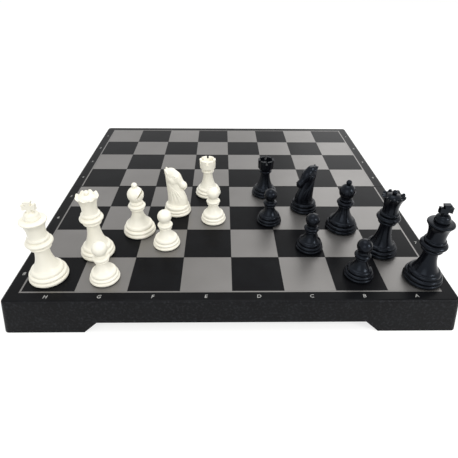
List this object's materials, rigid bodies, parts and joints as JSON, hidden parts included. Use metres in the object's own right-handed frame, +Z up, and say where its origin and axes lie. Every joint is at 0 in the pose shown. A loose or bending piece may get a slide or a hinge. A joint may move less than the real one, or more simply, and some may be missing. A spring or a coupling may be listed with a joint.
{
  "type": "folding magnetic chess set",
  "caption": "Folding magnetic chess set: two hinged black case halves open flat into a chequered board with silver squares, with turned white and black men standing on it.",
  "frame": {"origin": "on the table, under the middle of the fold, with the board open flat", "axes": "+X to the right along the fold, +Y away from the player who sits at the front half, +Z up"},
  "size_m": [0.324, 0.324, 0.0915],
  "materials": {
    "case_plastic": "satin",
    "steel_sheet": "satin",
    "silver_foil": "satin",
    "pin_steel": "satin",
    "white_plastic": "satin",
    "black_plastic": "gloss",
    "magnet": "matt",
    "felt": "matt"
  },
  "bodies": {
    "front_half": {"front_half_case": "case_plastic", "front_steel_sheet": "steel_sheet", "front_silver_squares": "silver_foil", "hinge_pins": "pin_steel"},
    "rear_half": {"rear_half_case": "case_plastic", "rear_steel_sheet": "steel_sheet", "rear_silver_squares": "silver_foil"},
    "white_king_man": {"white_king": "white_plastic", "white_king_magnet": "magnet", "white_king_felt": "felt"},
    "white_queen_man": {"white_queen": "white_plastic", "white_queen_magnet": "magnet", "white_queen_felt": "felt"},
    "white_bishop_man": {"white_bishop": "white_plastic", "white_bishop_magnet": "magnet", "white_bishop_felt": "felt"},
    "white_knight_man": {"white_knight": "white_plastic", "white_knight_magnet": "magnet", "white_knight_felt": "felt"},
    "white_rook_man": {"white_rook": "white_plastic", "white_rook_magnet": "magnet", "white_rook_felt": "felt"},
    "white_pawn_1_man": {"white_pawn_1": "white_plastic", "white_pawn_1_magnet": "magnet", "white_pawn_1_felt": "felt"},
    "white_pawn_2_man": {"white_pawn_2": "white_plastic", "white_pawn_2_magnet": "magnet", "white_pawn_2_felt": "felt"},
    "white_pawn_3_man": {"white_pawn_3": "white_plastic", "white_pawn_3_magnet": "magnet", "white_pawn_3_felt": "felt"},
    "black_king_man": {"black_king": "black_plastic", "black_king_magnet": "magnet", "black_king_felt": "felt"},
    "black_queen_man": {"black_queen": "black_plastic", "black_queen_magnet": "magnet", "black_queen_felt": "felt"},
    "black_bishop_man": {"black_bishop": "black_plastic", "black_bishop_magnet": "magnet", "black_bishop_felt": "felt"},
    "black_knight_man": {"black_knight": "black_plastic", "black_knight_magnet": "magnet", "black_knight_felt": "felt"},
    "black_rook_man": {"black_rook": "black_plastic", "black_rook_magnet": "magnet", "black_rook_felt": "felt"},
    "black_pawn_1_man": {"black_pawn_1": "black_plastic", "black_pawn_1_magnet": "magnet", "black_pawn_1_felt": "felt"},
    "black_pawn_2_man": {"black_pawn_2": "black_plastic", "black_pawn_2_magnet": "magnet", "black_pawn_2_felt": "felt"},
    "black_pawn_3_man": {"black_pawn_3": "black_plastic", "black_pawn_3_magnet": "magnet", "black_pawn_3_felt": "felt"}
  },
  "joints": [
    {"name": "fold", "type": "hinge", "parent": "front_half", "child": "rear_half", "pos_m": [0, 0, 0.003], "axis": [-1, 0, 0], "range_deg": [0, 177.5]},
    {"name": "white_king_lift", "type": "slide", "parent": "front_half", "child": "white_king_man", "axis": [0, 0, 1], "range_m": [0, 0.08]},
    {"name": "white_queen_lift", "type": "slide", "parent": "front_half", "child": "white_queen_man", "axis": [0, 0, 1], "range_m": [0, 0.08]},
    {"name": "white_bishop_lift", "type": "slide", "parent": "front_half", "child": "white_bishop_man", "axis": [0, 0, 1], "range_m": [0, 0.08]},
    {"name": "white_knight_lift", "type": "slide", "parent": "front_half", "child": "white_knight_man", "axis": [0, 0, 1], "range_m": [0, 0.08]},
    {"name": "white_rook_lift", "type": "slide", "parent": "front_half", "child": "white_rook_man", "axis": [0, 0, 1], "range_m": [0, 0.08]},
    {"name": "white_pawn_1_lift", "type": "slide", "parent": "front_half", "child": "white_pawn_1_man", "axis": [0, 0, 1], "range_m": [0, 0.08]},
    {"name": "white_pawn_2_lift", "type": "slide", "parent": "front_half", "child": "white_pawn_2_man", "axis": [0, 0, 1], "range_m": [0, 0.08]},
    {"name": "white_pawn_3_lift", "type": "slide", "parent": "front_half", "child": "white_pawn_3_man", "axis": [0, 0, 1], "range_m": [0, 0.08]},
    {"name": "black_king_lift", "type": "slide", "parent": "front_half", "child": "black_king_man", "axis": [0, 0, 1], "range_m": [0, 0.08]},
    {"name": "black_queen_lift", "type": "slide", "parent": "front_half", "child": "black_queen_man", "axis": [0, 0, 1], "range_m": [0, 0.08]},
    {"name": "black_bishop_lift", "type": "slide", "parent": "front_half", "child": "black_bishop_man", "axis": [0, 0, 1], "range_m": [0, 0.08]},
    {"name": "black_knight_lift", "type": "slide", "parent": "front_half", "child": "black_knight_man", "axis": [0, 0, 1], "range_m": [0, 0.08]},
    {"name": "black_rook_lift", "type": "slide", "parent": "front_half", "child": "black_rook_man", "axis": [0, 0, 1], "range_m": [0, 0.08]},
    {"name": "black_pawn_1_lift", "type": "slide", "parent": "front_half", "child": "black_pawn_1_man", "axis": [0, 0, 1], "range_m": [0, 0.08]},
    {"name": "black_pawn_2_lift", "type": "slide", "parent": "front_half", "child": "black_pawn_2_man", "axis": [0, 0, 1], "range_m": [0, 0.08]},
    {"name": "black_pawn_3_lift", "type": "slide", "parent": "front_half", "child": "black_pawn_3_man", "axis": [0, 0, 1], "range_m": [0, 0.08]}
  ]
}
